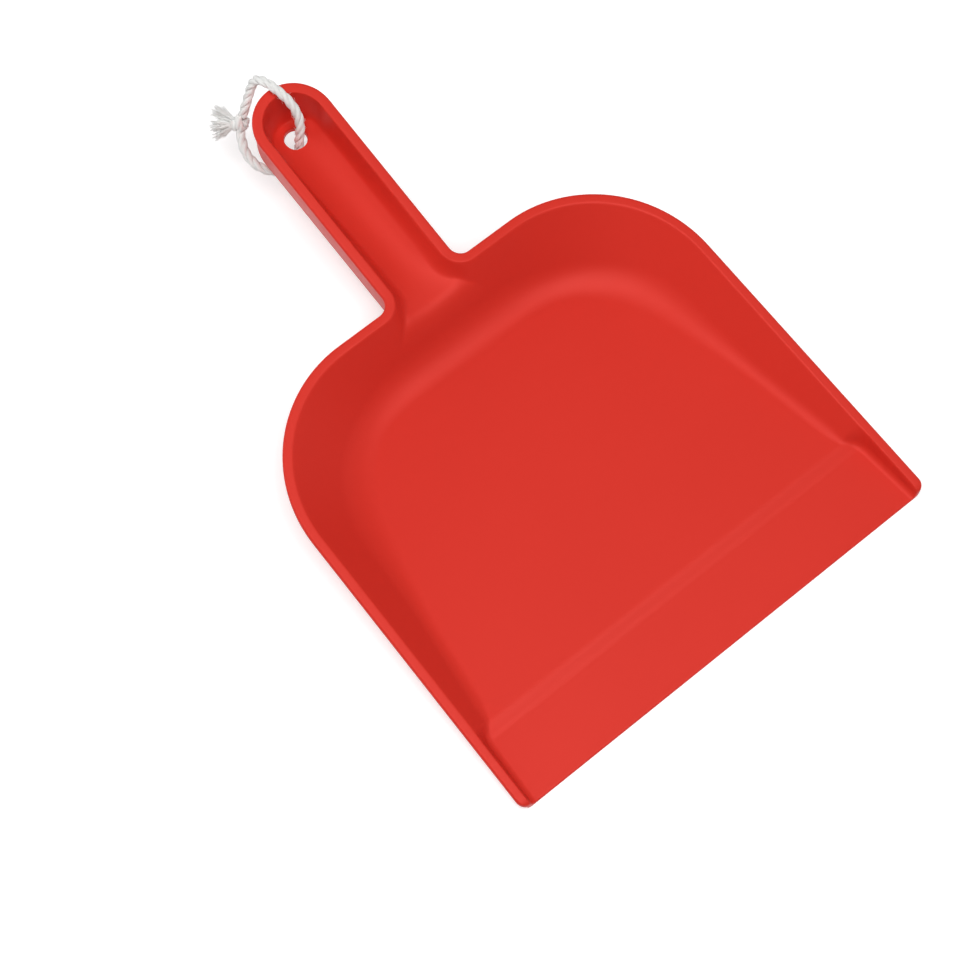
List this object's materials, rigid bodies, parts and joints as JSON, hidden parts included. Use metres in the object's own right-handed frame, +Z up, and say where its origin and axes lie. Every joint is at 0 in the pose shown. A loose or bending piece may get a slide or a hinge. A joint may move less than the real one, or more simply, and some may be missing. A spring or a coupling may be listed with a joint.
{
  "type": "dustpan",
  "caption": "Small one-piece plastic dustpan with a thin front lip, leaning side and back walls, an open-topped trough handle and a knotted twine loop for hanging.",
  "frame": {"origin": "on the surface the pan stands on, at the middle of the moulding's length and width", "axes": "+Y from the front lip to the end of the handle, +Z up, +X to the right seen from the front lip"},
  "size_m": [0.1522, 0.2235, 0.0388],
  "materials": {
    "pan_plastic": "moulded polypropylene, satin",
    "twine": "three-strand laid white twine"
  },
  "bodies": {
    "root": {"dustpan": "pan_plastic", "twine_loop": "twine", "twine_knot": "twine", "twine_tail_upper": "twine", "twine_tail_lower": "twine"}
  },
  "joints": []
}
